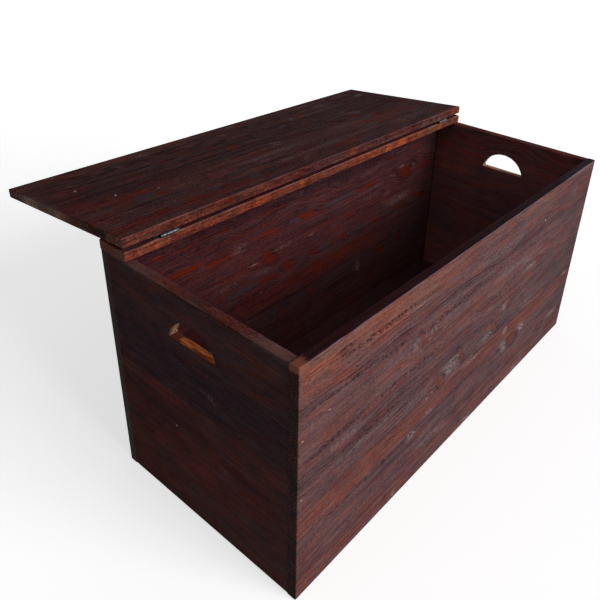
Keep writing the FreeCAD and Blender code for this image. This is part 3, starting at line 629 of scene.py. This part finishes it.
LID_MARKS = {
    "amber": [
        (60, 215, 110, 18, 0.5), (860, 254, 140, 9, 0.6, 3), (40, 340, 60, 16, 0.6), (180, 345, 200, 10, 0.4),
        (120, 20, 300, 14, 0.2), (250, 222, 160, 8, 0.3), (995, 364, 20, 12, 0.8)
    ],
    "golden": [
        (988, 364, 34, 14, 1.0), (128, 364, 10, 6, 0.6), (30, 364, 22, 6, 0.4), (561, 364, 9, 6, 0.7),
        (612, 364, 16, 6, 0.3), (170, 364, 190, 8, 0.4), (945, 364, 76, 8, 0.6)
    ],
    "slate": [
        (272, 60, 18, 18, 0.6), (500, 50, 520, 6, 0.5), (105, 282, 20, 24, 0.7), (450, 180, 130, 12, 0.5),
        (860, 118, 130, 10, 0.5), (240, 262, 80, 10, 0.4), (640, 345, 160, 14, 0.4), (690, 364, 22, 6, 0.6),
        (805, 364, 30, 6, 0.6)
    ],
    "shade": [
        (60, 160, 300, 230, 0.2), (1010, 180, 170, 260, 0.8), (520, 130, 330, 26, 0.4),
        (250, 364, 36, 6, 0.8), (410, 364, 26, 6, 0.7), (548, 364, 6, 6, 0.7)
    ],
    "ruddy": [
        (130, 200, 330, 210, 0.5), (90, 218, 150, 14, 1.0), (250, 222, 180, 7, 0.8), (120, 335, 260, 16, 0.8),
        (880, 258, 140, 9, 0.8, 3), (60, 110, 120, 9, 0.6)
    ],
    "putty": [
        (35, 112, 12, 6, 0.5), (218, 113, 20, 7, 0.5), (302, 113, 18, 5, 0.5), (355, 113, 12, 5, 0.4),
        (122, 246, 24, 10, 0.5), (40, 248, 20, 6, 0.4), (84, 316, 9, 6, 0.6), (147, 316, 9, 6, 0.6),
        (225, 318, 11, 7, 0.6), (276, 320, 7, 5, 0.6), (317, 321, 15, 6, 0.6), (368, 320, 10, 5, 0.5),
        (190, 364, 190, 8, 0.1), (945, 364, 76, 8, 0.16)
    ],
    "resin": [
        (38, 190, 16, 16, 0.5), (262, 113, 14, 7, 0.7), (390, 118, 12, 6, 0.6), (472, 112, 10, 5, 0.5),
        (160, 250, 12, 9, 0.7), (85, 245, 18, 14, 0.4), (155, 220, 50, 6, 0.5), (60, 318, 11, 7, 0.8),
        (110, 325, 20, 6, 0.8), (186, 322, 34, 7, 0.65), (252, 318, 13, 7, 0.8), (292, 326, 10, 6, 0.6),
        (355, 291, 12, 9, 0.5), (580, 325, 60, 4, 0.6), (440, 316, 30, 5, 0.4), (6, 282, 8, 8, 0.7),
        (455, 60, 8, 12, 0.4), (130, 152, 9, 6, 0.4), (285, 250, 16, 8, 0.4), (760, 262, 40, 5, 0.6),
        (980, 205, 12, 4, 0.6), (30, 190, 34, 16, 0.4), (110, 217, 100, 8, 0.3), (330, 236, 120, 6, 0.25),
        (860, 258, 110, 5, 0.4, 3), (130, 336, 180, 8, 0.2), (60, 110, 50, 8, 0.3), (220, 364, 4, 6, 0.8)
    ],
    "chalk": [
        (487, 206, 12, 10, 0.8), (950, 68, 16, 7, 1.0, -24), (795, 60, 26, 12, 0.5), (790, 180, 22, 14, 0.6),
        (430, 249, 76, 9, 0.5), (350, 200, 8, 7, 0.5), (397, 272, 14, 8, 0.5), (775, 154, 12, 5, 0.7, -20),
        (745, 95, 90, 10, 0.3), (596, 119, 12, 5, 0.7, -30), (425, 302, 24, 8, 0.4), (262, 36, 8, 8, 0.6),
        (655, 90, 16, 8, 0.5), (590, 300, 100, 8, 0.35), (860, 318, 100, 12, 0.35), (460, 60, 7, 8, 0.5),
        (458, 325, 12, 5, 0.6, -30), (730, 280, 20, 8, 0.4), (700, 235, 60, 4, 0.5, 4), (340, 290, 6, 4, 0.6),
        (520, 20, 14, 8, 0.5), (870, 364, 46, 5, 0.35)
    ],
    "bloom": [(0, 88, 3, 40, 0.42), (0, 158, 3, 34, 0.36)],
    "gap": [
        (330, 163, 330, 1.5, 0.8), (130, 101, 170, 1.3, 0.7, 2), (520, 281, 220, 1.5, 0.8),
        (330, 45, 340, 1.4, 0.7), (800, 110, 220, 1.3, 0.6), (150, 318, 160, 1.0, 0.3)
    ],
    "pool": [
        (300, 44, 300, 5, 0.5), (130, 96, 130, 4, 0.5, 4), (290, 164, 150, 3, 0.9), (420, 283, 90, 4, 0.8),
        (620, 279, 110, 3, 0.8), (165, 222, 12, 6, 0.7), (90, 170, 60, 3, 0.6), (700, 108, 120, 3, 0.5),
        (880, 45, 120, 3, 0.5), (0, 18, 3, 22, 1.0), (0, 262, 3, 50, 1.0)
    ],
    "lint": [(67, 115, 2.8, 2.2, 0.65, -50), (100, 193, 1.5, 4, 0.6, 25), (168, 225, 4, 1.4, 0.35)],
}
STRIP_MARKS = {
    "amber": [(770, 0, 280, 9, 0.18)],
    "golden": [
        (282, 0, 6, 8, 1.0), (400, 0, 4, 6, 0.8), (638, 0, 20, 6, 0.5), (692, 0, 13, 6, 0.9),
        (750, 0, 18, 6, 0.8), (910, 0, 7, 6, 0.9), (56, 0, 10, 6, 0.5), (300, 0, 12, 6, 0.3),
        (588, 0, 8, 6, 0.3), (800, 0, 60, 6, 0.3)
    ],
    "slate": [
        (345, 0, 30, 6, 0.6), (262, 0, 9, 6, 0.7), (440, 0, 20, 6, 0.3), (505, 0, 14, 6, 0.4),
        (840, 0, 60, 6, 0.3), (970, 0, 30, 6, 0.5)
    ],
    "shade": [(70, 0, 12, 6, 0.5), (230, 0, 20, 6, 0.3), (672, 0, 5, 6, 0.6)],
    "ruddy": [(200, 0, 240, 9, 0.5)],
    "putty": [(900, 0, 110, 9, 0.24), (740, 0, 130, 9, 0.12), (430, 0, 60, 9, 0.1)],
}


def dress_boards():
    """Each board its own staves, knots and marks; the box is redder and darker inside than out. The lid's
    upturned face and the left end's outer face take darker tones than the front's outer face: partly stain,
    partly painted shade where they turn from the key, and the front's lighter tone partly a painted sheen.
    """
    # the arris colour of the front and of the hinge strip is a painted highlight along their arrises
    # the front's outer face keeps the full tone, lighter partly as a painted sheen
    stained_pine(Board("front_panel", (1, 0, 0), (0, 0, -1)), FRONT_STAVES, FRONT_KNOTS, FRONT_MARKS,
                 high=(0.7, 0.47, 0.47), edge=(0.142, 0.115, 0.162), end=(0.24, 0.26, 0.27), contrast=1.3,
                 rings=1.1, hues=5.6, joints=0.45, rubbing=0.8, arris_wear_and_glint_colour="#7a6e80", seed=11.0)
    stained_pine(Board("rear_panel", (1, 0, 0), (0, 0, -1)), REAR_STAVES, REAR_KNOTS, REAR_MARKS,
                 low=(0.595, 0.40, 0.425), high=(0.9, 0.86, 0.86), edge=(0.36, 0.33, 0.38),
                 end=(0.18, 0.21, 0.22), contrast=1.4, rings=0.7, hues=4.8, joints=0.6, rubbing=0.2,
                 resin=DEEP_RESIN, sheen=0.03, seed=23.0)
    # low darkens the left end's outer face, partly as painted shade where it faces away from the key
    stained_pine(Board("left_end_panel", (0, -1, 0), (0, 0, -1)), END_STAVES, (), END_MARKS,
                 low=(0.47, 0.425, 0.465), high=(0.85, 0.55, 0.55), edge=(0.9, 0.58, 0.52), contrast=0.85,
                 clouds=1.2, rings=0.4, hues=7.5, joints=0.25, rubbing=0.4, arris_wear_and_glint_colour="#8f6a60", sheen=0.004,
                 seed=31.0, bare=hand_hole_walls)
    # The right end's inner face takes a raised tone, which its marks darken towards the floor and the front:
    # painted light and shade of the box's inside.
    stained_pine(Board("right_end_panel", (0, -1, 0), (0, 0, -1)), END_STAVES, (), RIGHT_END_MARKS,
                 low=(1.45, 0.97, 0.98), high=(0.55, 0.47, 0.48), edge=(0.9, 0.58, 0.52), contrast=0.5,
                 rings=0.35, hues=7.5, joints=0.4, rubbing=0.3, resin=DEEP_RESIN, sheen=0.004, seed=37.0,
                 bare=functools.partial(hand_hole_walls, sill=("#8c5a48", "#cc9c84"), wet_corner=False))
    stained_pine(Board("floor_panel", (1, 0, 0), (0, -1, 0)), REAR_STAVES, (), {}, low=(0.35, 0.265, 0.31),
                 high=(0.6, 0.5, 0.5), contrast=1.3, rubbing=0.0, seed=41.0)
    # the arris colour here is a painted highlight along the strip's arrises
    stained_pine(Board("hinge_strip", (1, 0, 0), (0, 1, 0)), [(67, 1.0, 0.4)], (), STRIP_MARKS,
                 low=(0.6, 0.45, 0.42), high=(0.50, 0.30, 0.30), edge=(1.54, 0.93, 0.60),
                 end=(0.76, 0.63, 0.50), contrast=2.0, rubbing=0.7, arris_wear_and_glint_colour="#9c7674", chatter=0.7,
                 seed=53.0)
    open_angle = math.radians(frame["joints"][0]["range_deg"][1])
    towards_hinge = Matrix.Rotation(-open_angle, 3, "X") @ Vector((0, 1, 0))
    # low darkens the lid's upturned face, partly as painted shade where the key only grazes it
    stained_pine(Board("lid_panel", (1, 0, 0), towards_hinge), LID_STAVES, LID_KNOTS, LID_MARKS,
                 low=(0.49, 0.40, 0.42), high=(0.8, 0.72, 0.72), edge=(0.88, 0.61, 0.54),
                 end=(0.56, 0.58, 0.50), contrast=2.3, rings=0.8, hues=7.5, joints=1.0, blocks=(0.35, 2.4),
                 rubbing=0.6, arris_wear_and_glint_colour="#7a6068", chatter=0.65, resin=DEEP_RESIN, sheen=0.004, seed=61.0)


# ------------------------------------ metal
def plated_steel(name, film="#231a1c", bright="#8a9196", worn_off=0.4, crown=None):
    """Zinc-plated pressed steel under a film, blackish brown on the hinges. To the eye: cloudy, with fine rub
    marks, and bright metal where the film has come off in patches. crown, where given, adds a painted
    highlight: bright bare metal in a thin broken stripe on the side of each knuckle that faces a given way."""
    material, tree = new_material(name)
    new = functools.partial(add, tree)
    position = new("TexCoord", out=3)
    point = new("VectorMath", {0: position, "Scale": MM}, operation="SCALE")
    cloud = grain(tree, point, (4.0, 4.0, 4.0))
    # rub marks are 0.1 mm apart, drawn at 0.4 mm
    rub = grain(tree, point, (5.0, 0.4, 0.4))
    bare_and_glint = new("MapRange", {0: cloud, 1: 0.42, 2: 0.70, 3: 0.0, 4: worn_off}, **SMOOTH)
    # crown paints a highlight: bright bare metal in a thin broken stripe round each knuckle, on the side that
    # faces the given direction
    if crown:
        centre, direction = crown
        away = new("VectorMath", {0: position, 1: centre}, operation="SUBTRACT")
        away = new("VectorMath", {0: away, 1: (0.0, 1.0, 1.0)}, operation="MULTIPLY")
        away = new("VectorMath", {0: away}, operation="NORMALIZE")
        facing = new("VectorMath", {0: away, 1: direction}, out=1, operation="DOT_PRODUCT")
        facing = new("Math", {0: rub, 1: 0.02, 2: facing}, operation="MULTIPLY_ADD")
        wear_and_glint = new("MapRange", {0: facing, 1: 0.992, 2: 1.008}, **SMOOTH)
        broken = new("MapRange", {0: cloud, 1: 0.44, 2: 0.56, 3: 0.25, 4: 1.0}, **SMOOTH)
        wear_and_glint = new("Math", {0: wear_and_glint, 1: broken}, operation="MULTIPLY")
        bare_and_glint = new("Math", {0: bare_and_glint, 1: wear_and_glint}, operation="MAXIMUM")
    colour = new("Mix", {0: bare_and_glint, 6: linear(film), 7: linear(bright)}, out=2, data_type="RGBA")
    rough = new("MapRange", {0: rub, 1: 0.3, 2: 0.7, 3: 0.32, 4: 0.5})
    normal = new("Bump", {"Strength": 0.4, "Distance": 0.02 / MM, "Height": rub})
    shader = new("BsdfPrincipled", {"Base Color": colour, "Metallic": bare_and_glint, "Roughness": rough,
                                    "Normal": normal})
    finish_surface(tree, shader)
    return material


def sawn_pine(name):
    """Bare pine as it left the saw. To the eye: pale tan with yellower late wood, furry along the grain."""
    material, tree = new_material(name)
    new = functools.partial(add, tree)
    point = new("VectorMath", {0: new("TexCoord", out=3), "Scale": MM}, operation="SCALE")
    fur = grain(tree, point, (80.0, 2.0, 2.0), detail=4.0)
    colour = new("ValToRGB", {0: fur})
    colour.node.color_ramp.elements[0].color = linear("#94683c")
    colour.node.color_ramp.elements[1].color = linear("#d3a66c")
    normal = new("Bump", {"Strength": 0.6, "Distance": 0.3 / MM, "Height": fur})
    shader = new("BsdfPrincipled", {"Base Color": colour, "Roughness": 0.8, "Specular IOR Level": 0.2,
                                    "Normal": normal})
    finish_surface(tree, shader)
    return material


def dress_small_pieces():
    """Hinges, screws, brads and cleats."""
    axis = Vector(frame["joints"][0]["pos_m"])
    # the knuckles' painted highlight faces the front and up
    crown = (axis, Vector((0, -0.80, 0.60)))
    wear(plated_steel("zinc_plated_steel_dark_film_painted_highlight", crown=crown),
         *[name for name in nodes if "leaf" in name or "pin" in name])
    wear(plated_steel("bright_flat_wire", film="#6d655c", bright="#cfc8bd", worn_off=1.0),
         *[name for name in nodes if name.endswith("brads")])
    wear(sawn_pine("sawn_bare_pine"), *[name for name in nodes if name.endswith("cleat")])


# ------------------------------------ floor, light and camera
def build_stage():
    """A plain pale floor that keeps the chest's shadow, under a white surround."""
    reach, clearance = 30.0, 0.0004       # m, far enough to fill the view and just clear of the boards
    glow_of_floor, ambient, white = 0.6, 0.24, 1.0
    sheet = bmesh.new()
    bmesh.ops.create_grid(sheet, x_segments=1, y_segments=1, size=reach,
                          matrix=Matrix.Translation((0, 0, -clearance)))
    mesh = bpy.data.meshes.new("studio_floor")
    sheet.to_mesh(mesh)
    sheet.free()
    floor = bpy.data.objects.new("studio_floor", mesh)
    bpy.context.scene.collection.objects.link(floor)
    material, tree = new_material("pale_floor")
    seen = add(tree, "LightPath").node
    camera_or_gloss = add(tree, "Math", {0: seen.outputs["Is Camera Ray"], 1: seen.outputs["Is Glossy Ray"]},
                          operation="MAXIMUM")
    pale = add(tree, "BsdfDiffuse", {"Color": (0.8, 0.8, 0.8, 1.0)})
    lift = add(tree, "Math", {0: camera_or_gloss, 1: glow_of_floor}, operation="MULTIPLY")
    glow = add(tree, "Emission", {"Color": (1, 1, 1, 1), "Strength": lift})
    finish_surface(tree, add(tree, "AddShader", {0: pale, 1: glow}))
    mesh.materials.append(material)

    world = bpy.data.worlds.new("white_surround")
    bpy.context.scene.world = world
    world.use_nodes = True
    tree = world.node_tree
    tree.nodes.clear()
    seen = add(tree, "LightPath").node
    plain = add(tree, "Math", {0: seen.outputs["Is Camera Ray"], 1: seen.outputs["Is Glossy Ray"]},
                operation="MAXIMUM")
    plain = add(tree, "Math", {0: plain, 1: seen.outputs["Is Transmission Ray"]}, operation="MAXIMUM")
    strength = add(tree, "MapRange", {"Value": plain, 1: 0.0, 2: 1.0, 3: ambient, 4: white})
    background = add(tree, "Background", {"Color": (1, 1, 1, 1), "Strength": strength})
    output = tree.nodes.new("ShaderNodeOutputWorld")
    tree.links.new(background, output.inputs["Surface"])


def build_light():
    """A broad soft key from the front right, low enough to look into the box, and a fill over its mouth."""
    key_level, fill_level = 0.76, 1.22    # at 1, a colour shows about as it is written
    fill_length, fill_depth = 0.72, 0.60  # as shares of the floor panel
    to_left, below_rim = 0.09, 0.001      # m
    key = bpy.data.lights.new("soft_key", "SUN")
    key.energy = math.pi * key_level
    key.angle = math.radians(40)
    lamp = bpy.data.objects.new("soft_key", key)
    lamp.rotation_euler = Vector((0.2, -1.0, 0.40)).to_track_quat("Z", "Y").to_euler()
    bpy.context.scene.collection.objects.link(lamp)

    low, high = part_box("floor_panel")
    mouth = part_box("front_panel")[1].z
    fill = bpy.data.lights.new("box_fill", "AREA")
    fill.shape = "RECTANGLE"
    fill.size = fill_length * (high.x - low.x)
    fill.size_y = fill_depth * (high.y - low.y)
    fill.energy = math.pi * fill_level * fill.size * fill.size_y
    lamp = bpy.data.objects.new("box_fill", fill)
    lamp.location = (-to_left, low.y + fill.size_y / 2, mouth - below_rim)
    lamp.visible_camera = False
    lamp.visible_glossy = False
    bpy.context.scene.collection.objects.link(lamp)


def build_camera():
    """The view from the front left, above the chest's rim."""
    lens = bpy.data.cameras.new("view")
    lens.sensor_width = 36.0
    lens.lens = 39.28
    lens.shift_x = -0.0878
    lens.shift_y = -0.1203
    lens.clip_start = 0.01
    camera = bpy.data.objects.new("view", lens)
    eye = Vector((-0.9725, -0.4430, 1.0017))
    forward = Vector((0.7026, 0.5396, -0.4638)).normalized()
    up = Vector((0.3326, 0.3272, 0.8845))
    right = forward.cross(up).normalized()
    up = right.cross(forward)
    turn = Matrix((right, up, -forward)).transposed()
    camera.matrix_world = Matrix.Translation(eye) @ turn.to_4x4()
    bpy.context.scene.collection.objects.link(camera)
    bpy.context.scene.camera = camera


dress_boards()
dress_small_pieces()
build_stage()
build_light()
build_camera()
bpy.context.scene.view_settings.view_transform = "Standard"
